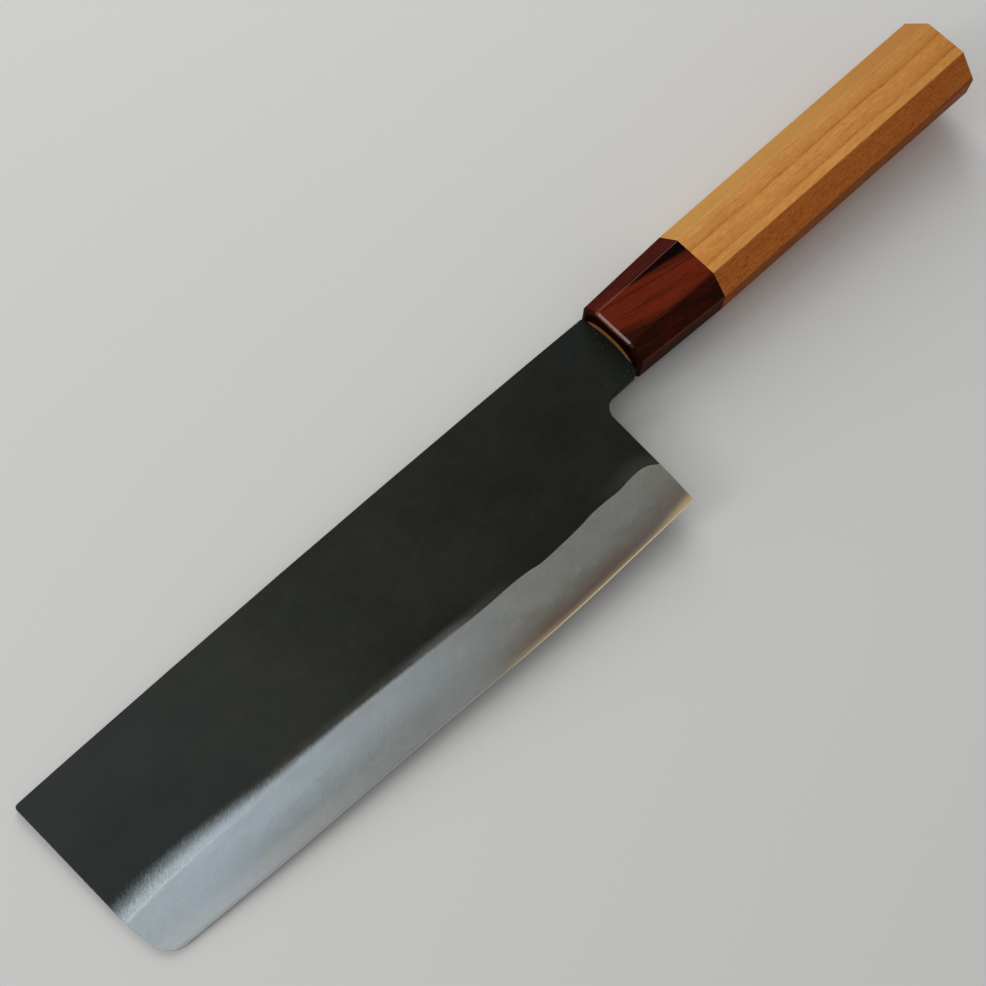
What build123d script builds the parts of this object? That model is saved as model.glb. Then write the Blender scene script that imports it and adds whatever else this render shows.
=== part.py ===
from build123d import *
import math
import os

# Nakiri knife: a forged three-layer blade on a tapered octagonal wooden handle.
# Knife axes while it is built: X along the handle towards the butt, from the ferrule's mouth,
# Y towards the spine, Z through the thickness. At the end it is laid on its side, all lengths in mm.

# Blade outline, heights from the handle's axis
edge_length = 161.55
heel_setback = 14.5
neck_top = 9.5
neck_depth = 10.9
spine_front_height = 10.35
spine_crown = 0.82
edge_depth = 44.08
tip_rise = 5.4
front_lean_angle = 2.8
heel_lean_angle = 1.5
front_foot_lean_angle = 10.5
front_knee_rise = 12.2
front_knee_radius = 60.0
front_corner_radius = 6.0
spine_corner_radius = 1.0
choil_radius = 4.6
neck_top_radius = 1.2
neck_bottom_radius = 2.4

# Blade thickness: on the spine at the mouth and at the front, and of the flats carried down to the edge
mouth_thickness = 3.3
front_thickness = 2.0
lower_thickness = 2.6
eased_edge = 0.22

# Bevels: the wide ground bevel with its swelling, the honed edge below it
bevel_width = 16.0
bevel_swell = 0.12
honed_width = 0.6
honed_thickness = 0.36
edge_thickness = 0.08
# Stations along the edge from the heel: the place, the edge's rise and the bevel's width there
edge_station_shares = (
    (-0.05, 0.062, 0.535),
    (0.0, 0.052, 0.76),
    (0.045, 0.041, 0.912),
    (0.13, 0.019, 0.908),
    (0.22, 0.0, 0.886),
    (0.34, 0.067, 0.961),
    (0.5, 0.296, 0.976),
    (0.66, 0.478, 1.014),
    (0.82, 0.681, 1.097),
    (0.95, 0.913, 1.094),
    (1.0, 1.0, 1.067),
    (1.07, 1.14, 1.01),
)

# Hard core between the two soft-iron jackets
core_thickness = 0.9

# Tang
tang_length = 96.0
tang_root_height = 12.0
tang_root_thickness = 2.8
tang_end_height = 6.5
tang_end_thickness = 1.9
tang_point_length = 7.0
tang_point_height = 3.0
tang_gap = 0.12

# Octagonal handle: half sizes at the mouth, at the joint of ferrule and body, and at the butt
ferrule_length = 30.0
body_length = 98.7
mouth_half_height = 10.45
mouth_half_width = 8.75
mouth_facet = 4.6
joint_half_height = 11.75
joint_half_width = 8.85
joint_facet = 5.4
butt_half_height = 12.35
butt_half_width = 9.0
butt_facet = 6.0
facet_edge_radius = 0.35
mouth_chamfer = 1.0
butt_chamfer = 0.7

# Oval tenon of the body, glued in the ferrule
tenon_height = 16.8
tenon_width = 9.0
glue_gap = 0.05

# Cuts run past what they cut by this much
overrun = 6.0


def edge_point(share, rise_share):
    """A point of the cutting edge, by its place from the heel and its rise above the lowest point."""
    return -(heel_setback + share * edge_length), -edge_depth + tip_rise * rise_share


def front_knee():
    """The point where the front, which leans in at its foot, turns to its own slight lean."""
    foot_x, foot_y = edge_point(1, 1)
    return foot_x - front_knee_rise * math.tan(math.radians(front_foot_lean_angle)), foot_y + front_knee_rise


def front_top():
    """The corner of the spine and the leaning front."""
    knee_x, knee_y = front_knee()
    height = spine_front_height - knee_y
    return knee_x - height * math.tan(math.radians(front_lean_angle)), spine_front_height


def choil_corner():
    """The corner of the neck's underside and the leaning heel."""
    height = edge_depth - neck_depth
    return -heel_setback + height * math.tan(math.radians(heel_lean_angle)), -neck_depth


def half_thickness(x, y):
    """Half the blade's thickness at a place on its flats, which thin to the front and to the edge."""
    forward = -x / (heel_setback + edge_length)
    down = (neck_top - y) / (neck_top + edge_depth)
    thinned = (mouth_thickness - front_thickness) * forward + (mouth_thickness - lower_thickness) * down
    return (mouth_thickness - thinned) / 2


def flat_plane():
    """The plane of the upper flat."""
    front_x = front_knee()[0]
    root = Vector(0, neck_top, half_thickness(0, neck_top))
    forward = Vector(front_x, neck_top, half_thickness(front_x, neck_top)) - root
    down = Vector(0, -edge_depth, half_thickness(0, -edge_depth)) - root
    return Plane(origin=root, z_dir=forward.cross(down))


def station(x):
    """The plane square to the handle's axis at x: its own x runs along Y and its own y along Z."""
    return Plane(origin=(x, 0, 0), x_dir=(0, 1, 0), z_dir=(1, 0, 0))


def mirrored(solid):
    """The same form on the blade's other side."""
    return mirror(solid, about=Plane.XY)


def blade_slab():
    """The blade's outline with its rounded corners, as thick as it is at its thickest."""
    spine_end = front_top()
    crown = (spine_end[0] / 2, (neck_top + spine_end[1]) / 2 + spine_crown)
    edge = [edge_point(share, rise) for share, rise, width in edge_station_shares if 0 <= share <= 1]
    with BuildPart() as slab:
        with BuildSketch():
            with BuildLine():
                Spline((0, neck_top), crown, spine_end)
                Polyline(spine_end, front_knee(), edge[-1])
                Spline(*edge)
                Polyline(edge[0], choil_corner(), (0, -neck_depth), (0, neck_top))
            make_face()
        extrude(amount=mouth_thickness / 2, both=True)
        upright = slab.edges().filter_by(Axis.Z)
        rounded = (
            (spine_end, spine_corner_radius),
            (front_knee(), front_knee_radius),
            (edge[-1], front_corner_radius),
            (choil_corner(), choil_radius),
            ((0, neck_top), neck_top_radius),
            ((0, -neck_depth), neck_bottom_radius),
        )
        for corner, radius in rounded:
            fillet(upright.sort_by_distance((*corner, 0))[0], radius)
    return slab.part


def tapered_blank():
    """The slab brought to its tapering flats, and eased all round them."""
    upper = flat_plane()
    blank = split(blade_slab(), bisect_by=upper, keep=Keep.BOTTOM)
    lower = Plane(origin=mirror_point(upper.origin), z_dir=mirror_point(upper.z_dir))
    blank = split(blank, bisect_by=lower, keep=Keep.BOTTOM)
    flats = blank.faces().sort_by(Axis.Z)
    return chamfer(flats[0].edges() + flats[-1].edges(), eased_edge)


def mirror_point(vector):
    """A point or a direction as it is on the blade's other side."""
    return Vector(vector.X, vector.Y, -vector.Z)


def bevel_section(share, rise_share, width_share):
    """What the grinding takes away at one place along the edge, on the upper side.

    A straight line makes the honed edge and a swelling arc the wide bevel, which leaves the
    steel along its own tangent at the bevel line."""
    x, edge_y = edge_point(share, rise_share)
    line_y = edge_y + bevel_width * width_share
    line = Vector(line_y, half_thickness(x, line_y))
    honed = Vector(edge_y + honed_width, honed_thickness / 2)
    edge = Vector(edge_y, edge_thickness / 2)
    below = edge - (honed - edge) * (overrun / honed_width)
    across = line - honed
    middle = (honed + line) / 2 + Vector(-across.Y, across.X).normalized() * bevel_swell
    clear_z = line.Y + overrun
    with BuildSketch(station(x)) as section:
        with BuildLine():
            Line(below, honed)
            grind = ThreePointArc(honed, middle, line)
            leaving = Line(line, line + (grind % 1) * overrun)
            Polyline(leaving @ 1, ((leaving @ 1).X, clear_z), (below.X, clear_z), below)
        make_face()
    return section.sketch


def bevel_cut():
    """The whole of what is ground off one side."""
    return loft([bevel_section(*shares) for shares in edge_station_shares])


def tang_form(gap):
    """The tang's taper to its blunt point, grown by a gap for the slot that takes it."""
    stages = (
        (0, tang_root_height, tang_root_thickness),
        (tang_length - tang_point_length, tang_end_height, tang_end_thickness),
        (tang_length + gap, tang_point_height, tang_end_thickness),
    )
    sections = []
    for x, height, thickness in stages:
        sections.append(station(x) * Rectangle(height + 2 * gap, thickness + 2 * gap))
    return loft(sections, ruled=True)


def blade_form():
    """The forged and ground blade with its tang, before it is parted into its layers."""
    cut = bevel_cut()
    return tapered_blank() - cut - mirrored(cut) + tang_form(0)


def blade_layers():
    """The hard core and the soft-iron jacket on each side of it."""
    form = blade_form()
    above = Plane.XY.offset(core_thickness / 2)
    below = Plane.XY.offset(-core_thickness / 2)
    front = split(form, bisect_by=above, keep=Keep.TOP)
    back = split(form, bisect_by=below, keep=Keep.BOTTOM)
    core = split(split(form, bisect_by=above, keep=Keep.BOTTOM), bisect_by=below, keep=Keep.TOP)
    return core, front, back


def octagon(x, half_height, half_width, facet, inset=0):
    """The handle's section: an oblong with its corners cut at 45 degrees, then softened.

    An inset moves all eight sides in by as much."""
    with BuildSketch(station(x)) as section:
        Rectangle(2 * (half_height - inset), 2 * (half_width - inset))
        chamfer(section.vertices(), facet - inset * (2 - math.sqrt(2)))
        fillet(section.vertices(), facet_edge_radius)
    return section.sketch


def oval(x, length, gap):
    """A length of the tenon's oval, grown by a gap."""
    return extrude(station(x) * Ellipse(tenon_height / 2 + gap, tenon_width / 2 + gap), amount=length)


def ferrule():
    """The rosewood ferrule, chamfered round its mouth and bored for the tenon."""
    mouth = (mouth_half_height, mouth_half_width, mouth_facet)
    joint = (joint_half_height, joint_half_width, joint_facet)
    sections = [
        octagon(0, *mouth, mouth_chamfer),
        octagon(mouth_chamfer, *mouth),
        octagon(ferrule_length, *joint),
    ]
    return loft(sections, ruled=True) - oval(-overrun, ferrule_length + 2 * overrun, glue_gap)


def handle_body():
    """The light wooden body with its tenon, slotted for the tang."""
    joint = (joint_half_height, joint_half_width, joint_facet)
    butt = (butt_half_height, butt_half_width, butt_facet)
    end_x = ferrule_length + body_length
    sections = [
        octagon(ferrule_length, *joint),
        octagon(end_x - butt_chamfer, *butt),
        octagon(end_x, *butt, butt_chamfer),
    ]
    return loft(sections, ruled=True) + oval(0, ferrule_length, 0) - tang_form(tang_gap)


def table_plane():
    """The table that the knife lies on, seen from the knife.

    It touches the ferrule's lower corner behind the mouth's chamfer, and the lower flat along the
    blade's front."""
    ferrule_corner = Vector(mouth_chamfer, mouth_facet - mouth_half_height, -mouth_half_width)
    top, bottom = [Vector(x, y, -half_thickness(x, y)) for x, y in (front_top(), front_knee())]
    upward = (ferrule_corner - bottom).cross(top - bottom)
    return Plane(origin=ferrule_corner, x_dir=Vector(0, 1, 0).cross(upward), z_dir=upward)


def laid_down(solids):
    """The pieces on the table, which is Z = 0, with the middle of the knife's box above the origin."""
    table = table_plane()
    turned = [table.to_local_coords(solid) for solid in solids]
    box = Compound(turned).bounding_box()
    shift = Location((-box.center().X, -box.center().Y, -box.min.Z))
    return [shift * solid for solid in turned]


def main():
    """Builds the pieces and writes one file for each."""
    core, front, back = blade_layers()
    pieces = {
        "core_steel": core,
        "cladding_front": front,
        "cladding_back": back,
        "ferrule": ferrule(),
        "handle_body": handle_body(),
    }
    placed = laid_down(list(pieces.values()))
    os.makedirs("parts", exist_ok=True)
    for name, solid in zip(pieces, placed):
        export_step(solid, f"parts/{name}.step")


main()
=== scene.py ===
import math

import bpy
import numpy as np
from bpy.props import FloatProperty, FloatVectorProperty, PointerProperty
from bpy.types import Operator, Panel, PropertyGroup, Scene
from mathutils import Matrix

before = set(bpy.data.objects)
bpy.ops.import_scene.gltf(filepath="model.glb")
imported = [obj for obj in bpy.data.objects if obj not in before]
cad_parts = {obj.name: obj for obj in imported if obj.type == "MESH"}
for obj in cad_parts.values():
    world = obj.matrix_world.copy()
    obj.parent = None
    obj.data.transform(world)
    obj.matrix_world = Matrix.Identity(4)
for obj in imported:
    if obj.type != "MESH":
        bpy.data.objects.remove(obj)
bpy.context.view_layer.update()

bl_info = {
    "name": "Nakiri knife",
    "version": (1, 0, 0),
    "blender": (4, 5, 0),
    "location": "View3D > Sidebar > Nakiri",
    "description": "Finishes, floor, light and camera for a nakiri knife with an octagonal wooden handle",
    "category": "Object",
}

MM = 0.001

# The knife's own axes, in which every finish is laid out in millimetres: X along the handle towards
# the butt, from the ferrule's mouth, Y towards the spine, Z through the thickness. Along the edge, a
# place is also given as a share, from 0 at the heel to 1 at the front
KNIFE_ORIGIN = (0.025493, 0.015867, 0.008746)
KNIFE_TURN = tuple(math.radians(angle) for angle in (0.4861, -2.4965, -0.0212))

# Blade, in millimetres
HEEL_SETBACK = 14.5
EDGE_LENGTH = 161.55
NECK_TOP = 9.5
EDGE_DEPTH = 44.08
MOUTH_THICKNESS = 3.3
FRONT_THICKNESS = 2.0
LOWER_THICKNESS = 2.6
CORE_THICKNESS = 0.9
# The edge as the steel's tints follow it: level from the heel, and then rising to the front
LEVEL_EDGE_DEPTH = 44.0
LEVEL_EDGE_SHARE = 0.27
EDGE_RISE = 7.3
# The bevel line: its share along the edge, and its height from the handle's axis
BEVEL_LINE = (
    (-0.05, -33.6),
    (0.0, -31.5),
    (0.016, -29.95),
    (0.034, -29.4),
    (0.052, -29.45),
    (0.075, -29.75),
    (0.1, -29.5),
    (0.13, -29.4),
    (0.155, -29.75),
    (0.2, -29.95),
    (0.236, -29.95),
    (0.265, -29.3),
    (0.3, -28.85),
    (0.34, -28.75),
    (0.42, -28.05),
    (0.5, -27.05),
    (0.6, -25.95),
    (0.68, -25.4),
    (0.75, -24.85),
    (0.82, -23.9),
    (0.9, -23.05),
    (0.96, -23.15),
    (1.0, -23.6),
    (1.07, -23.7),
)
# The heights between which the bevel line's curve is drawn
BEVEL_LINE_LOW = -36.0
BEVEL_LINE_HIGH = -20.0
# The slant of the wheel's scratches from the knife's length
SCRATCH_SLANT = math.radians(49.0)
# The band of painted highlight under the mist, at its widest
HIGHLIGHT_BAND_WIDTH = 2.8

# Ferrule, in millimetres: how far from the axis its arrises lie at the mouth, across the face and
# through the side, and the length along which each of them moves by one millimetre
FACE_ARRIS = 5.85
FACE_ARRIS_RUN = 60
SIDE_ARRIS = 4.15
SIDE_ARRIS_RUN = 43
# The slant of the rosewood's grain from the knife's length
ROSEWOOD_SLANT = math.radians(12.0)
# The middle of the warm red stripe: its height at the mouth, and how far it falls in a millimetre
WARM_HEIGHT = 4.0
WARM_FALL = 0.27
# The lower border of the black wedge: its height at the mouth, and its slope
WEDGE_HEIGHT = 7.25
WEDGE_SLOPE = -0.138

# Handle's body, in millimetres
BUTT_END = 128.7
# The growth rings: how far the first lies from the axis, and their lean through the thickness
RING_OFFSET = 0.35
RING_LEAN = 0.35
# The oval of the seal round the tang: the squares of its half height and its half width
SEAL_HEIGHT_SQUARED = 46.0
SEAL_WIDTH_SQUARED = 8.5

# Heights of the finest relief, in millimetres
BLADE_RELIEF = 0.02
FERRULE_RELIEF = 0.01
BODY_RELIEF = 0.02

# Soft lights by name: their place and their width, in metres
LIGHTS = {
    "panel": ((-0.72, 0.1, 1.2), 1.4),
    "side": ((0.4, 0.75, 0.5), 0.7),
    "glint": ((-0.82, 0.26, 0.45), 0.25),
}

# The camera, found from the corners of the handle and the blade in the photograph
CAMERA_PLACE = (-0.14252, -0.084528, 0.364684)
CAMERA_TURN = tuple(math.radians(angle) for angle in (22.4783, -3.5106, -43.9671))
CAMERA_FRAME_WIDTH = 36.0
CAMERA_NEAR = 0.01


def colour(red, green, blue):
    """A colour written from 0 to 255, as a screen shows it, in the linear values of a shader."""
    return tuple((part / 255) ** 2.2 for part in (red, green, blue)) + (1.0,)


# Tints of the forge scale
GREEN_SCALE = colour(37, 47, 45)
COOL_SCALE = colour(46, 54, 62)
NECK_SCALE = colour(36, 43, 41)
BROWN_SCALE = colour(54, 46, 38)
SCALE_HAZE = colour(116, 114, 111)
SCALE_SPECK = colour(150, 152, 142)

# Tints of the ground steel
HEEL_STEEL = colour(158, 150, 134)
FRONT_STEEL = colour(179, 201, 223)
WORN_STEEL = colour(134, 130, 124)
EDGE_STEEL = colour(204, 202, 192)
GREEN_BLOTCH = colour(166, 178, 168)
BLUE_BLOTCH = colour(178, 188, 200)
COOL_GLOW = colour(200, 212, 220)
GREEN_VEIL = colour(164, 178, 172)
PURPLE_VEIL = colour(178, 176, 184)
# Painted highlights on the bevel: a pale band below the mist, and a glint along its lower border
PAINTED_HIGHLIGHT_BAND = colour(212, 223, 231)
PAINTED_GLINT = colour(232, 240, 245)
BRIGHT_SCRATCH = colour(214, 222, 226)
DARK_SCRATCH = colour(120, 130, 132)
PURPLE_PATINA = colour(130, 109, 96)
OLIVE_PATINA = colour(166, 150, 112)
GOLD_PATINA = colour(238, 210, 154)
HONED_FRONT = colour(204, 206, 204)
HONED_HEEL = colour(246, 232, 196)

# Tints of the rosewood
# Painted shade: the upper facet's rosewood, darker and redder than the face
SHADED_UPPER_ROSEWOOD = colour(70, 12, 3)
LIGHT_HAIRS = colour(124, 46, 22)
DARK_HAIRS = colour(34, 10, 5)
BLACK_WEDGE = colour(20, 13, 13)
ROSEWOOD_PORES = colour(26, 12, 8)
# The front end: dark end grain, darkened further as painted shade
ROSEWOOD_END_AND_SHADE = colour(22, 11, 8)
# Painted shade on the chamfers round the mouth, off the face
SHADED_MOUTH_SIDES = colour(28, 11, 7)
# Painted highlight on the arrises and on the mouth's chamfer on the face
HIGHLIGHT_ROSEWOOD = colour(140, 72, 56)

# Tints of the handle's light wood
UPPER_WOOD_FRONT = colour(185, 141, 74)
UPPER_WOOD_BUTT = colour(169, 119, 59)
LIGHT_GRAIN = colour(240, 178, 106)
LIGHT_FIGURE = colour(238, 174, 102)
LIGHT_CROWN = colour(232, 172, 98)
LIGHT_ARRIS = colour(224, 160, 92)
BUTT_WOOD = colour(166, 104, 48)
# The lower diagonal facet: partly its own figure, partly painted shade
LOWER_FIGURE_AND_SHADE_DARK = colour(168, 78, 27)
LOWER_FIGURE_AND_SHADE_LIGHT = colour(205, 106, 43)
# Painted shade on the facet under the lower diagonal facet
SHADED_UNDER_WOOD = colour(92, 40, 12)
WOOD_FLECKS = colour(96, 44, 16)
END_GRAIN = colour(150, 110, 72)
# The tenon's end grain, darkened further as painted shade
TENON_END_AND_SHADE = colour(128, 92, 62)
TANG_SEAL = colour(44, 45, 38)
END_GRAIN_PORES = colour(92, 56, 30)


class Term:
    """A socket in a material's node tree. Arithmetic on it, with numbers or other terms, adds Math
    nodes."""

    def __init__(self, tree, socket=None):
        self.tree = tree
        self.socket = socket

    def node(self, kind, sockets=None, out=0, stops=(), **settings):
        """Adds a node of that kind and returns one of its outputs as a term.

        Settings and a curve's stops come first, and then what its sockets hold: numbers, colours or
        terms."""
        made = self.tree.nodes.new("ShaderNode" + kind)
        for name, value in settings.items():
            setattr(made, name, value)
        if stops:
            points = made.mapping.curves[0].points
            while len(points) < len(stops):
                points.new(0.5, 0.5)
            for point, place in zip(points, stops):
                point.location = place
            made.mapping.update()
        for name, value in (sockets or {}).items():
            if isinstance(value, Term):
                self.tree.links.new(value.socket, made.inputs[name])
            else:
                made.inputs[name].default_value = value
        return Term(self.tree, made.outputs[out])

    def math(self, operation, *others):
        """A Math node's result from this value and the others."""
        return self.node("Math", dict(enumerate((self, *others))), operation=operation)

    def __add__(self, other):
        return self.math("ADD", other)

    __radd__ = __add__

    def __mul__(self, other):
        return self.math("MULTIPLY", other)

    __rmul__ = __mul__

    def __sub__(self, other):
        return self.math("SUBTRACT", other)

    def __rsub__(self, other):
        return self.node("Math", {0: other, 1: self}, operation="SUBTRACT")

    def __truediv__(self, other):
        return self.math("DIVIDE", other)

    def size(self):
        """The value without its sign."""
        return self.math("ABSOLUTE")

    def either(self, other):
        """The larger of two values."""
        return self.math("MAXIMUM", other)

    def above(self, low, high):
        """0 below low, 1 past high, and a soft step between them; low may be the larger."""
        return self.node("MapRange", {0: self, 1: low, 2: high}, interpolation_type="SMOOTHSTEP")

    def parts(self):
        """The three numbers of a vector."""
        split = self.node("SeparateXYZ", {0: self})
        return [Term(self.tree, socket) for socket in split.socket.node.outputs]

    def times(self, x, y, z):
        """The vector, stretched by three numbers."""
        return self.node("VectorMath", {0: self, 1: (x, y, z)}, operation="MULTIPLY")

    def turned(self, angle):
        """The vector, turned about its third axis."""
        return self.node("Mapping", {"Vector": self, "Rotation": (0.0, 0.0, angle)})

    def noise(self, detail=2.0, roughness=0.5, distortion=0.0):
        """Soft random values from 0 to 1 about a unit apart, at the place that this vector gives."""
        sockets = {
            "Vector": self,
            "Scale": 1.0,
            "Detail": detail,
            "Roughness": roughness,
            "Distortion": distortion,
        }
        return self.node("TexNoise", sockets)

    def mix(self, first, second):
        """A colour from the first to the second, as this value goes from 0 to 1."""
        return self.node("Mix", {0: self, 6: first, 7: second}, out=2, data_type="RGBA")


def layered(base, *layers):
    """A colour with others laid over it in turn, each by its own strength from 0 to 1."""
    for strength, tint in layers:
        base = strength.mix(base, tint)
    return base


def new_material(name):
    """An empty material, the start of its terms, and its shader."""
    material = bpy.data.materials.new(name)
    material.use_nodes = True
    tree = material.node_tree
    return material, Term(tree), tree.nodes["Principled BSDF"]


def feed(start, shader, **sockets):
    """Links terms to the shader's sockets, or sets them to numbers and colours."""
    for name, value in sockets.items():
        socket = shader.inputs[name.replace("_", " ")]
        if isinstance(value, Term):
            start.tree.links.new(value.socket, socket)
        else:
            socket.default_value = value


def knife_place(start):
    """The place on the knife, in millimetres along the knife's own axes."""
    sockets = {
        "Vector": start.node("TexCoord", out="Object"),
        "Location": KNIFE_ORIGIN,
        "Rotation": KNIFE_TURN,
        "Scale": (MM, MM, MM),
    }
    return start.node("Mapping", sockets, vector_type="TEXTURE")


def bump(start, height, depth):
    """A surface normal from a height that goes from 0 to 1 over a depth in millimetres."""
    return start.node("Bump", {"Height": height, "Strength": 1.0, "Distance": depth * MM})


def dress(material, *nodes):
    """Puts a material on CAD nodes."""
    for node in nodes:
        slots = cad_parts[node].material_slots
        if not slots:
            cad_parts[node].data.materials.append(material)
        for slot in slots:
            slot.material = material


class BladeMaps:
    """The terms that the blade's finishes share, each with a value for every place on the blade."""

    def __init__(self, start, mist_width):
        self.place = knife_place(start)
        self.x, self.y, self.z = self.place.parts()
        # The share along the edge
        self.share = (self.x + HEEL_SETBACK) / -EDGE_LENGTH
        # Millimetres below the bevel line, and millimetres above the cutting edge
        self.below = self.bevel_line() - self.y
        rise = (self.share - LEVEL_EDGE_SHARE).either(0.0) * EDGE_RISE
        self.above_edge = self.y + LEVEL_EDGE_DEPTH - rise
        # The wheel's slanting streaks and scratches, fine grains, and soft clouds in two sizes
        slant = self.place.turned(-SCRATCH_SLANT)
        self.streaks = slant.times(0.9, 5.0, 0.5).noise(3.0, 0.65) - 0.5
        self.scratches = slant.times(0.08, 4.5, 1.0).noise(4.0, 0.7)
        self.grains = self.place.times(4.5, 4.5, 4.5).noise(2.0, 0.7) - 0.5
        self.mottle = self.place.times(0.8, 0.9, 0.9).noise(4.0, 0.7)
        self.steam = self.place.times(0.16, 0.3, 0.3).noise(4.0, 0.65)
        # From 0 on the scale to 1 on bare metal: where it is ground, and also where it is rubbed
        self.ground = self.ground_off(mist_width)
        self.bare = self.ground.either(self.rubbed_off())
        # The honed edge, and the gold beside it near the heel
        self.honed = self.z.size().above(0.15, 0.1) * self.ground
        gold_height = self.x.above(-32.0, -13.0) * 1.7 - self.above_edge + 0.1
        self.gold = gold_height.above(-1.6, 1.2) * self.share.above(0.45, 0.3)

    def bevel_line(self):
        """The bevel line's height in millimetres, at each share along the edge."""
        first, last = BEVEL_LINE[0][0], BEVEL_LINE[-1][0]
        length, height = last - first, BEVEL_LINE_HIGH - BEVEL_LINE_LOW
        stops = [((share - first) / length, (y - BEVEL_LINE_LOW) / height) for share, y in BEVEL_LINE]
        curve = self.share.node("FloatCurve", {"Value": (self.share - first) / length}, stops=stops)
        return curve * height + BEVEL_LINE_LOW

    def ground_off(self, mist_width):
        """Where the wheel has taken the scale off.

        The border is crisp at the heel. From the middle to the front it is a widening mist of fine
        slanting streaks, whose width at the front is given in millimetres."""
        past_heel = self.share.above(0.3, 0.45)
        width = self.share.above(0.55, 1.0) * mist_width + past_heel * 0.45 + 0.08
        grainy = self.grains * (self.share.above(0.8, 1.0) * 1.4 + past_heel * 0.5)
        ragged = self.streaks * past_heel * 1.2 + grainy
        return (self.below / width + ragged).above(-1.15, 1.0)

    def rubbed_off(self):
        """Where the scale is rubbed off along the rim of the flats, a little more to the front."""
        forward = self.x / -(HEEL_SETBACK + EDGE_LENGTH)
        down = (NECK_TOP - self.y) / (NECK_TOP + EDGE_DEPTH)
        to_front = forward * (MOUTH_THICKNESS - FRONT_THICKNESS)
        to_edge = down * (MOUTH_THICKNESS - LOWER_THICKNESS)
        under_flat = (MOUTH_THICKNESS - (to_front + to_edge)) * 0.5 - self.z.size()
        rim = under_flat.above(0.03, 0.1) * (1 - self.ground)
        patches = self.place.times(0.3, 1.6, 1.6).noise(5.0, 0.7).above(0.3, 0.9)
        strength = self.share.above(0.6, 1.0) * 0.3 + 0.4
        return rim * self.share.above(-0.03, 0.04) * patches * strength


def scale_haze(blade):
    """The haze on the scale just above the bevel: smooth at the heel, streaky from the first third on."""
    puff = blade.share.above(0.37, 0.42) * blade.share.above(0.52, 0.45)
    cloud = blade.place.times(0.2, 0.5, 0.5).noise(3.0, 0.6) + puff * 0.8
    along = blade.below.above(-3.0, 0.3) * blade.share.above(0.27, 0.4) * cloud
    at_heel = blade.below.above(-5.0, -1.0) * blade.share.above(0.12, 0.04) * 0.22
    return along * (blade.streaks * 1.6 + blade.grains * 0.8 + 1.0) + at_heel


def forge_scale(blade, settings):
    """The scale's colour: clouded in green-black and brown-black, paler to the front, finely mottled,
    with a haze above the bevel, and a few bright specks, most of them at the neck."""
    place, share, below = blade.place, blade.share, blade.below
    clouds = place.times(0.03, 0.045, 0.045).noise(3.0, 0.55)
    dust = place.times(0.28, 0.35, 0.35).noise(4.0, 0.7) - 0.5
    paling = share * 0.6 + share.above(0.45, 0.75) * 0.3
    darker_by_bevel = below.above(-9.0, -0.5) * share.above(0.08, 0.2) * 0.1
    darker_at_front = below.above(-24.0, -8.0) * share.above(0.7, 0.85) * 0.24
    shade = darker_by_bevel + darker_at_front
    level = clouds * 0.7 + blade.mottle * 0.2 + dust * 0.45 + paling - 0.3 - shade
    green = place.times(0.07, 0.09, 0.09).noise(3.0, 0.6).above(0.42, 0.6)
    near_neck = blade.x.above(-13.0, -1.0) + 0.1
    specks = place.times(1.5, 1.9, 1.9).noise(2.0, 0.4).above(0.69, 0.77) * near_neck
    return layered(
        level.mix(tuple(settings.scale_dark), tuple(settings.scale_light)),
        (green * (share * 0.34 - 0.05), GREEN_SCALE),
        (share.above(0.6, 0.9) * 0.25, COOL_SCALE),
        (blade.x.above(-22.0, -6.0) * 0.45, NECK_SCALE),
        ((1 - green) * share.above(1.0, 0.5) * 0.1, BROWN_SCALE),
        (scale_haze(blade) * 0.6, SCALE_HAZE),
        (specks * 0.45, SCALE_SPECK),
    )


def bevel_clouds(blade):
    """Layers of the bevel's soft clouds: warm at the heel, cool to the front, worn below the middle,
    and a glow under the bevel line."""
    share, steam = blade.share, blade.steam
    patchy = blade.below + (steam - 0.5) * 9.0
    front = share.above(0.5, 0.9) * 0.45 - share.above(0.85, 1.0) * 0.2
    worn = patchy.above(5.5, 11.5) * share.above(0.4, 0.6) * share.above(0.95, 0.75)
    by_edge = blade.above_edge.above(4.5, 2.5) * share.above(0.5, 0.8)
    blotch = blade.place.times(0.35, 0.6, 0.6).noise(4.0, 0.75)
    under_line = patchy.above(10.0, 3.5) * blade.below.above(-0.4, 0.4)
    glow = under_line * share.above(0.3, 0.55) * share.above(1.1, 0.7)
    veil = blade.place.times(0.11, 0.2, 0.2).noise(3.0, 0.6)
    past_heel = share.above(0.3, 0.6)
    return (
        (share.above(0.6, 0.25) * 0.5, HEEL_STEEL),
        (front, FRONT_STEEL),
        (worn * 0.45, WORN_STEEL),
        (by_edge * 0.28, EDGE_STEEL),
        (blotch.above(0.48, 0.62) * 0.3, GREEN_BLOTCH),
        (blotch.above(0.48, 0.34) * 0.3, BLUE_BLOTCH),
        (glow * 0.34, COOL_GLOW),
        (veil.above(0.5, 0.66) * past_heel * 0.3, GREEN_VEIL),
        (veil.above(0.5, 0.34) * past_heel * 0.3, PURPLE_VEIL),
    )


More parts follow.
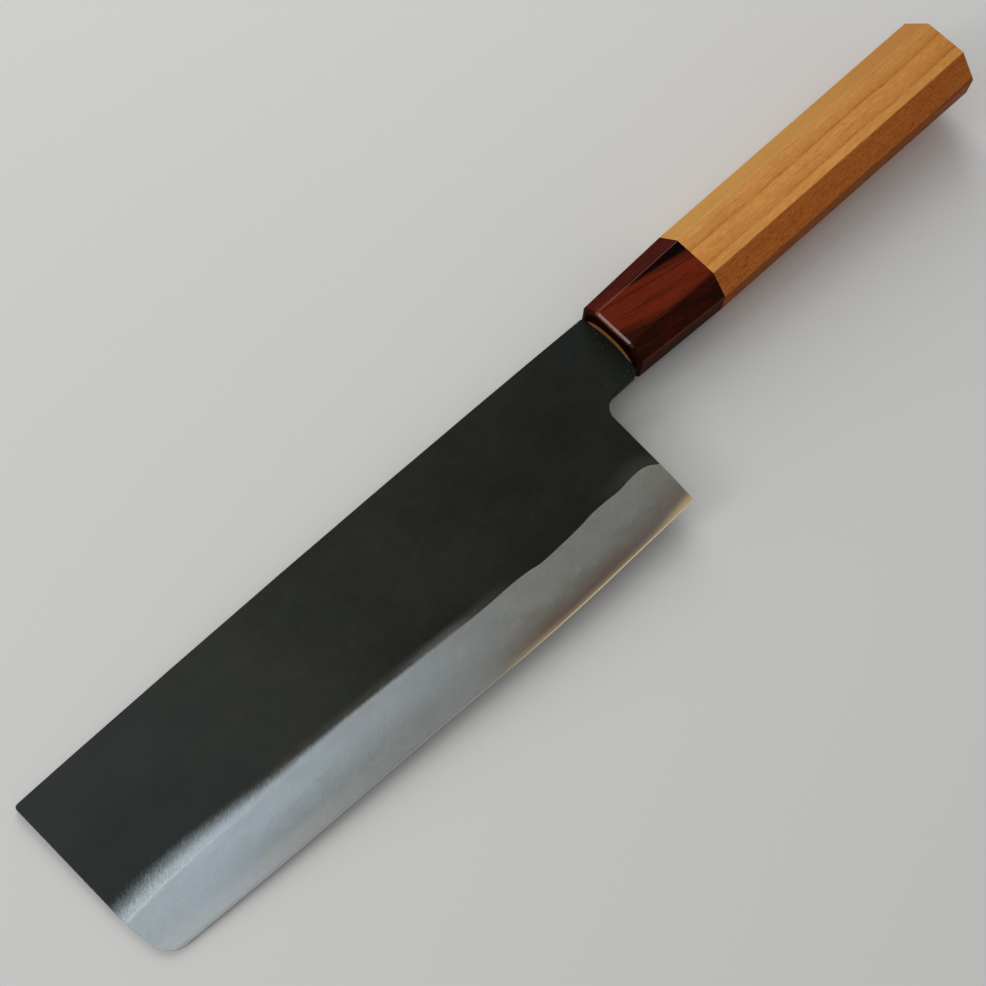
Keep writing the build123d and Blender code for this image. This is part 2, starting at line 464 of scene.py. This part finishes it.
def highlights_and_scratches(blade):
    """Layers along the bevel: a band of painted highlight below the mist, a painted glint along its lower
    border, and single bright and dark scratches that the wheel left."""
    share, streaks, grains = blade.share, blade.streaks, blade.grains
    below_band = blade.below - share.above(0.6, 0.92) * HIGHLIGHT_BAND_WIDTH
    wobble = (blade.place.times(0.3, 0.6, 0.6).noise(3.0, 0.6) - 0.5) * 1.2
    lower_border = (below_band + wobble + streaks * 0.6).above(1.3, -0.9)
    # A band of painted highlight below the mist
    band = blade.below.above(-0.4, 1.4) * lower_border * share.above(0.5, 1.0)
    # A painted glint: a thin bright line along the lower border of the painted highlight band
    painted_glint_line = (below_band + wobble * 0.9).size().above(0.4, 0.0)
    glint = painted_glint_line * share.above(0.7, 0.95) * grains.above(-0.3, 0.1)
    marks = grains + streaks
    past_heel = share.above(0.3, 0.7)
    return (
        (band * (streaks * 0.9 + grains * 0.6 + 0.4), PAINTED_HIGHLIGHT_BAND),
        (glint * 0.4, PAINTED_GLINT),
        (marks.above(0.05, 0.35) * past_heel * 0.22, BRIGHT_SCRATCH),
        (marks.above(-0.05, -0.35) * past_heel * 0.22, DARK_SCRATCH),
    )


def heel_patina(blade):
    """Layers along the edge: over the heel half a purple-brown patina that ends in gold, and the honed
    edge itself."""
    x, share = blade.x, blade.share
    stain = blade.above_edge - x.above(-42.0, -15.0) * 2.2 + (blade.steam - 0.5) * 4.0
    strength = (blade.steam * 0.5 + 0.62) * (1 - x.above(-44.0, -20.0) * 0.4)
    honed_colour = share.above(0.6, 0.2).mix(HONED_FRONT, HONED_HEEL)
    return (
        (stain.above(8.5, 0.5) * share.above(0.48, 0.28) * strength, PURPLE_PATINA),
        (x.above(-26.0, -15.0) * 0.18, OLIVE_PATINA),
        (blade.gold * 0.85, GOLD_PATINA),
        (blade.honed * (share.above(0.42, 0.22) * 0.75 + 0.15), honed_colour),
    )


def ground_steel(blade, settings):
    """The bevels' colour: soft iron and a band of hard core in a satin of fine slanting scratches,
    with the wheel's clouds and scratches, a painted highlight band and glint below the mist, and the
    patina at the heel."""
    waves = (blade.place.times(0.13, 0.3, 0.3).noise(3.0, 0.6) - 0.5) * 0.12
    core = (blade.z.size() - CORE_THICKNESS / 2 + waves).above(0.02, -0.03)
    satin = blade.scratches * 0.8 + blade.steam * 0.9 + blade.grains * 0.4 - 0.35
    return layered(
        satin.mix(tuple(settings.iron_dark), tuple(settings.iron_light)),
        (core * 0.3, tuple(settings.core_colour)),
        *bevel_clouds(blade),
        *highlights_and_scratches(blade),
        *heel_patina(blade),
    )


def blade_finish(settings):
    """Forge scale on the flats, and satin-ground iron and core steel on the bevels."""
    material, start, shader = new_material("blade")
    blade = BladeMaps(start, settings.mist_width / MM)
    bare = blade.bare
    grit = blade.place.times(4.0, 4.0, 4.0).noise(2.0, 0.6)
    scale_height = blade.mottle * 0.6 + grit * 0.4
    scale_roughness = blade.mottle * 0.16 + 0.5
    steel_roughness = blade.scratches * 0.14 + blade.steam * 0.08 + 0.27
    height = scale_height * (1 - bare) + blade.scratches * bare * 0.1
    feed(
        start,
        shader,
        Base_Color=bare.mix(forge_scale(blade, settings), ground_steel(blade, settings)),
        Metallic=bare * 0.95 - blade.honed.either(blade.gold) * 0.5,
        Roughness=scale_roughness * (1 - bare) + steel_roughness * bare,
        Normal=bump(start, height, BLADE_RELIEF),
        Specular_IOR_Level=0.12,
    )
    return material


def arris_highlights(x, y, z):
    """The arrises between the ferrule's facets, from behind its mouth's chamfer to the joint."""
    tall, wide = y.size(), z.size()
    face = (y - x / FACE_ARRIS_RUN - FACE_ARRIS).size().above(0.3, 0.1) * wide.above(7.8, 8.2)
    side = (wide + x / SIDE_ARRIS_RUN - SIDE_ARRIS).size().above(0.3, 0.1) * tall.above(9.4, 9.8)
    return face.either(side) * x.above(0.9, 1.2)


def ferrule_finish(settings):
    """Polished rosewood: a warm red middle between darker sides, slanting dark streaks, fine pores, and
    a black wedge at the joint. The arrises and the chamfer round the mouth on the face shine more and
    carry a painted highlight. The upper facet and the other chamfers round the mouth are painted darker
    as painted shade, and the dark end grain at the front is darkened further as painted shade."""
    material, start, shader = new_material("ferrule")
    place = knife_place(start)
    x, y, z = place.parts()
    dark, red = tuple(settings.dark), tuple(settings.red)
    slant = place.turned(ROSEWOOD_SLANT)
    streaks = slant.times(0.03, 0.45, 0.3).noise(4.0, 0.6, 0.4)
    grain = slant.times(0.09, 2.6, 2.2).noise(4.0, 0.7)
    pores = slant.times(0.35, 5.0, 5.0).noise(1.0, 0.5).above(0.6, 0.7)
    hairs = place.times(0.04, 3.2, 3.2).noise(2.0, 0.6)
    upper = y.above(6.2, 6.8)
    on_face = z.above(7.4, 7.8)
    warm = (y + x * WARM_FALL - WARM_HEIGHT).size().above(8.2, 3.0) * y.above(-6.9, -4.4)
    over_wedge_line = y - (x * WEDGE_SLOPE + WEDGE_HEIGHT) + (grain - 0.5) * 1.4
    wedge = over_wedge_line.above(-0.4, 0.5) * x.above(7.0, 13.0) * z.above(4.0, 6.0)
    # Painted shade: the chamfers and end round the mouth, off the face, painted darker
    shaded_mouth_chamfers = x.above(1.1, 0.95) * (1 - on_face)
    mouth = x.above(0.95, 0.85) * x.above(0.3, 0.45) * on_face
    arris = arris_highlights(x, y, z)
    # The upper facet is painted darker here and below, as painted shade
    level = streaks * 0.55 + grain * 0.55 + warm * 0.5 - upper * 0.08 - 0.21
    wood = layered(
        level.above(0.15, 0.95).mix(dark, red),
        # Painted shade on the upper facet
        (upper * 0.72, SHADED_UPPER_ROSEWOOD),
        (hairs.above(0.5, 0.62) * upper * 0.32, LIGHT_HAIRS),
        (hairs.above(0.5, 0.38) * upper * 0.4, DARK_HAIRS),
        (streaks.above(0.46, 0.36) * 0.4, dark),
        (wedge * y.above(6.9, 6.5) * 0.95, BLACK_WEDGE),
        (pores * 0.5, ROSEWOOD_PORES),
        # Dark end grain at the front, partly painted shade
        (x.above(0.25, 0.02) * 0.8, ROSEWOOD_END_AND_SHADE),
        (shaded_mouth_chamfers * 0.65, SHADED_MOUTH_SIDES),
        # Painted highlight on the arrises and on the mouth's chamfer
        (arris * 0.4 + mouth * 0.2, HIGHLIGHT_ROSEWOOD),
    )
    feed(
        start,
        shader,
        Base_Color=wood,
        Roughness=grain * 0.2 + 0.32 + pores * 0.2,
        Normal=bump(start, (grain * 0.5 + (1 - pores) * 0.5) * (1 - mouth), FERRULE_RELIEF),
        Coat_Weight=mouth * 0.55 + arris * 0.08 + settings.polish,
        Coat_Roughness=0.14,
        Specular_IOR_Level=0.01,
    )
    return material


def growth_lines(place, jagged, figure, spacing):
    """Broken lines of late wood along the handle, each with a soft band and a thin line beside it."""
    y, z = place.parts()[1:]
    waves = place.times(0.03, 0.05, 0.05).noise(2.0, 0.5) - 0.5
    across = y + RING_OFFSET + z * RING_LEAN + waves * 1.6 + jagged * 1.25
    ring = (across / spacing).math("FRACT")
    broken = place.times(0.05, 0.25, 0.25).noise(3.0, 0.6).above(0.38, 0.58)
    line = (ring.above(0.1, 0.0) + ring.above(0.95, 1.0)) * broken * 0.42
    band = (ring.above(0.6, 0.05) + ring.above(0.85, 1.0)) * figure.above(0.25, 0.7) * 0.46
    thin_line = ring.above(0.38, 0.45) * ring.above(0.5, 0.45) * broken * 0.3
    return line + band + thin_line


def end_layers(place):
    """Layers of the end grain at both ends, with the tenon's end, darkened further as painted shade, and
    the dark seal round the tang.
    """
    x, y, z = place.parts()
    at_mouth = x.above(0.3, 0.1)
    end = x.above(BUTT_END - 0.35, BUTT_END - 0.15) + at_mouth
    pores = place.times(3.0, 3.0, 3.0).noise(1.0, 0.5).above(0.55, 0.68)
    oval = y * y / SEAL_HEIGHT_SQUARED + z * z / SEAL_WIDTH_SQUARED
    sealed = oval.above(1.04, 0.94) * at_mouth
    return (
        (end * 0.35, END_GRAIN),
        # The tenon's end, partly painted shade
        (at_mouth * 0.75, TENON_END_AND_SHADE),
        (sealed * 0.95, TANG_SEAL),
        (end * pores * 0.4, END_GRAIN_PORES),
    )


def body_finish(settings):
    """Oiled light wood: soft clouds, broken grain lines, fine fibres, and short dark flecks on the lower
    facets. The lower diagonal facet's tint is partly its own figure and partly painted shade, and the
    facet under it is painted darker as painted shade."""
    material, start, shader = new_material("handle_body")
    place = knife_place(start)
    x, y, z = place.parts()
    light, dark = tuple(settings.light), tuple(settings.dark)
    clouds = place.times(0.05, 0.12, 0.12).noise(3.0, 0.6)
    jagged = place.times(0.55, 1.8, 1.8).noise(4.0, 0.7) - 0.5
    figure = place.times(0.3, 0.55, 0.55).noise(4.0, 0.7, 0.8)
    grainy = place.times(0.35, 2.0, 2.0).noise(3.0, 0.75)
    fibres = place.times(0.06, 2.8, 2.8).noise(4.0, 0.7)
    fine = place.times(0.5, 5.0, 5.0).noise(2.0, 0.7)
    flecks = place.times(0.6, 3.6, 3.6).noise(3.0, 0.75).above(0.48, 0.68)
    # The facets, from the spine's side down, and two soft zones of the broad face between them
    upper = (y + jagged * 0.8).above(5.4, 7.0)
    crown = y.above(-1.0, 5.0) * y.above(6.6, 6.2)
    lower = y.above(-6.1, -6.6)
    by_lower_arris = y.above(-2.0, -4.5) * (1 - lower)
    # The facet under the lower diagonal facet, painted darker as painted shade
    under = z.size().above(3.8, 3.2) * y.above(-8.0, -9.0)
    upper_wood = x.above(36.0, 125.0).mix(UPPER_WOOD_FRONT, UPPER_WOOD_BUTT)
    # The lower diagonal facet's tint: partly its figure, partly painted shade
    lower_figure_and_shade = fibres.above(0.35, 0.65).mix(LOWER_FIGURE_AND_SHADE_DARK, LOWER_FIGURE_AND_SHADE_LIGHT)
    lines = growth_lines(place, jagged, figure, settings.ring_spacing / MM)
    wood = layered(
        (clouds * 0.5 + fibres * 0.5 - 0.1).above(0.15, 0.85).mix(light, dark),
        (upper * 0.8, upper_wood),
        (fine.above(0.45, 0.75) * 0.4, dark),
        (grainy.above(0.5, 0.68) * (0.5 - upper * 0.25), dark),
        (grainy.above(0.5, 0.32) * (0.4 - upper * 0.25), LIGHT_GRAIN),
        (figure.above(0.5, 0.7) * 0.35 * (1 - upper), LIGHT_FIGURE),
        (figure.above(0.5, 0.3) * 0.35 * (1 - upper), dark),
        (crown * 0.2, LIGHT_CROWN),
        (by_lower_arris * 0.15, LIGHT_ARRIS),
        (x.above(85.0, 115.0) * 0.2, BUTT_WOOD),
        (lower * 0.72, lower_figure_and_shade),
        (under * 0.55, SHADED_UNDER_WOOD),
        (lines * (1 - lower) * (1 - upper * 0.8), tuple(settings.line)),
        (flecks * (lower * 0.6 + 0.08), WOOD_FLECKS),
        *end_layers(place),
    )
    feed(
        start,
        shader,
        Base_Color=wood,
        Roughness=fibres * 0.14 + 0.42 + flecks * 0.06,
        Normal=bump(start, fibres * 0.35 + fine * 0.35 - flecks * 0.3, BODY_RELIEF),
        Coat_Weight=settings.oil,
        Coat_Roughness=0.3,
        Specular_IOR_Level=0.03,
    )
    return material


def colour_setting(name, description, default):
    """A colour that a user may change."""
    options = {"subtype": "COLOR", "size": 4, "min": 0.0, "max": 1.0}
    return FloatVectorProperty(name=name, description=description, default=default, **options)


def length_setting(name, description, default, low, high):
    """A length in metres that a user may change."""
    options = {"subtype": "DISTANCE", "unit": "LENGTH", "min": low, "max": high}
    return FloatProperty(name=name, description=description, default=default, **options)


def strength_setting(name, description, default):
    """A strength from 0 to 1 that a user may change."""
    options = {"subtype": "FACTOR", "min": 0.0, "max": 1.0}
    return FloatProperty(name=name, description=description, default=default, **options)


def power_setting(name, description, default):
    """A lamp's power in watts that a user may change."""
    options = {"unit": "POWER", "min": 0.0, "max": 500.0}
    return FloatProperty(name=name, description=description, default=default, **options)


class BladeSettings(PropertyGroup):
    """What a user may change on the blade."""

    scale_dark: colour_setting("Dark scale", "Darker clouds of the forge scale", colour(24, 26, 21))
    scale_light: colour_setting("Light scale", "Lighter clouds of the forge scale", colour(58, 60, 54))
    iron_dark: colour_setting("Dark iron", "Ground iron in the scratches", colour(150, 157, 158))
    iron_light: colour_setting("Light iron", "Ground iron between the scratches", colour(184, 192, 193))
    core_colour: colour_setting("Core steel", "Hard steel of the core on the bevel", colour(178, 178, 172))
    mist_width: length_setting(
        "Mist width", "Width of the misty border between scale and bevel at the front", 0.0022, 0.0, 0.005
    )


class FerruleSettings(PropertyGroup):
    """What a user may change on the ferrule."""

    red: colour_setting("Red wood", "Red-brown of the rosewood", colour(114, 45, 27))
    dark: colour_setting("Dark wood", "Dark streaks of the rosewood", colour(44, 25, 18))
    polish: strength_setting("Polish", "Strength of the clear polish", 0.025)


class BodySettings(PropertyGroup):
    """What a user may change on the handle's body."""

    light: colour_setting("Light wood", "Early wood", colour(230, 160, 85))
    dark: colour_setting("Dark wood", "Darker clouds and fibres", colour(196, 126, 60))
    line: colour_setting("Grain lines", "Broken lines of late wood", colour(166, 98, 42))
    ring_spacing: length_setting("Ring spacing", "Distance between growth rings", 0.0055, 0.0005, 0.01)
    oil: strength_setting("Oil", "Strength of the oiled sheen", 0.03)


class StageSettings(PropertyGroup):
    """What a user may change on the floor, the light and the camera."""

    floor_size: length_setting("Floor size", "Width of the floor", 8.0, 1.0, 20.0)
    floor_colour: colour_setting("Floor", "Colour of the plain floor", colour(226, 226, 224))
    panel_power: power_setting("Panel", "Power of the soft panel above the blade", 4.5)
    side_power: power_setting("Side", "Power of the soft light on the spine's side", 4.6)
    glint_power: power_setting("Glint", "Power of the small light that glints on the ferrule's mouth", 1.5)
    room_light: FloatProperty(
        name="Room",
        description="Strength of the plain light from all round",
        min=0.0,
        max=2.0,
        default=0.27,
    )
    focal_length: FloatProperty(
        name="Focal length",
        description="Focal length of the camera on a 36 mm frame",
        unit="CAMERA",
        min=10.0,
        max=200.0,
        default=58.124,
    )


class NAKIRI_OT_blade(Operator):
    """Gives the core and both jackets of the blade their forge scale and ground steel"""

    bl_idname = "nakiri.blade"
    bl_label = "Blade"

    def execute(self, context):
        dress(blade_finish(context.scene.nakiri_blade), "core_steel", "cladding_front", "cladding_back")
        return {"FINISHED"}


class NAKIRI_OT_ferrule(Operator):
    """Gives the ferrule its polished rosewood"""

    bl_idname = "nakiri.ferrule"
    bl_label = "Ferrule"

    def execute(self, context):
        dress(ferrule_finish(context.scene.nakiri_ferrule), "ferrule")
        return {"FINISHED"}


class NAKIRI_OT_handle_body(Operator):
    """Gives the handle's body and its tenon their oiled light wood"""

    bl_idname = "nakiri.handle_body"
    bl_label = "Handle body"

    def execute(self, context):
        dress(body_finish(context.scene.nakiri_body), "handle_body")
        return {"FINISHED"}


class NAKIRI_OT_stage(Operator):
    """Adds the floor, the lights and the camera"""

    bl_idname = "nakiri.stage"
    bl_label = "Stage"

    def execute(self, context):
        settings = context.scene.nakiri_stage
        make_floor(settings)
        for name, (place, width) in LIGHTS.items():
            make_light(name, place, width, getattr(settings, name + "_power"))
        make_room(context.scene, settings)
        make_camera(context.scene, settings)
        context.scene.view_settings.view_transform = "Standard"
        return {"FINISHED"}


def make_floor(settings):
    """A plain square floor: its four corners lie at plus and minus half the size, at height 0."""
    half = settings.floor_size / 2
    corners = np.array([(-half, -half, 0.0), (half, -half, 0.0), (half, half, 0.0), (-half, half, 0.0)])
    mesh = bpy.data.meshes.new("floor")
    mesh.from_pydata(corners.tolist(), [], [(0, 1, 2, 3)])
    floor = bpy.data.objects.new("floor", mesh)
    bpy.context.scene.collection.objects.link(floor)
    material, start, shader = new_material("floor")
    feed(start, shader, Base_Color=tuple(settings.floor_colour), Roughness=0.8, Specular_IOR_Level=0.2)
    mesh.materials.append(material)


def make_light(name, place, width, power):
    """A square soft light at a place, turned to the middle of the knife."""
    lamp = bpy.data.lights.new(name, "AREA")
    lamp.shape = "SQUARE"
    lamp.size = width
    lamp.energy = power
    light = bpy.data.objects.new(name, lamp)
    light.location = place
    light.rotation_euler = (-light.location).to_track_quat("-Z", "Y").to_euler()
    bpy.context.scene.collection.objects.link(light)


def make_room(scene, settings):
    """Plain white light from all round."""
    world = bpy.data.worlds.new("room")
    world.use_nodes = True
    background = world.node_tree.nodes["Background"]
    background.inputs["Color"].default_value = (1.0, 1.0, 1.0, 1.0)
    background.inputs["Strength"].default_value = settings.room_light
    scene.world = world


def make_camera(scene, settings):
    """The camera at the photograph's place."""
    lens = bpy.data.cameras.new("camera")
    lens.lens = settings.focal_length
    lens.sensor_width = CAMERA_FRAME_WIDTH
    lens.clip_start = CAMERA_NEAR
    camera = bpy.data.objects.new("camera", lens)
    camera.location = CAMERA_PLACE
    camera.rotation_euler = CAMERA_TURN
    scene.collection.objects.link(camera)
    scene.camera = camera


class NAKIRI_PT_panel(Panel):
    """Lists the knife's pieces and their settings"""

    bl_label = "Nakiri knife"
    bl_idname = "NAKIRI_PT_panel"
    bl_space_type = "VIEW_3D"
    bl_region_type = "UI"
    bl_category = "Nakiri"

    def draw(self, context):
        scene = context.scene
        groups = (
            ("nakiri.blade", scene.nakiri_blade),
            ("nakiri.ferrule", scene.nakiri_ferrule),
            ("nakiri.handle_body", scene.nakiri_body),
            ("nakiri.stage", scene.nakiri_stage),
        )
        for operator, settings in groups:
            box = self.layout.box()
            box.operator(operator)
            for name in settings.__annotations__:
                box.prop(settings, name)


CLASSES = (
    BladeSettings,
    FerruleSettings,
    BodySettings,
    StageSettings,
    NAKIRI_OT_blade,
    NAKIRI_OT_ferrule,
    NAKIRI_OT_handle_body,
    NAKIRI_OT_stage,
    NAKIRI_PT_panel,
)


def register():
    for cls in CLASSES:
        bpy.utils.register_class(cls)
    Scene.nakiri_blade = PointerProperty(type=BladeSettings)
    Scene.nakiri_ferrule = PointerProperty(type=FerruleSettings)
    Scene.nakiri_body = PointerProperty(type=BodySettings)
    Scene.nakiri_stage = PointerProperty(type=StageSettings)


def unregister():
    for name in ("nakiri_blade", "nakiri_ferrule", "nakiri_body", "nakiri_stage"):
        delattr(Scene, name)
    for cls in reversed(CLASSES):
        bpy.utils.unregister_class(cls)


def main():
    """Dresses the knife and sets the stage."""
    register()
    bpy.ops.nakiri.blade()
    bpy.ops.nakiri.ferrule()
    bpy.ops.nakiri.handle_body()
    bpy.ops.nakiri.stage()


if __name__ == "__main__":
    main()
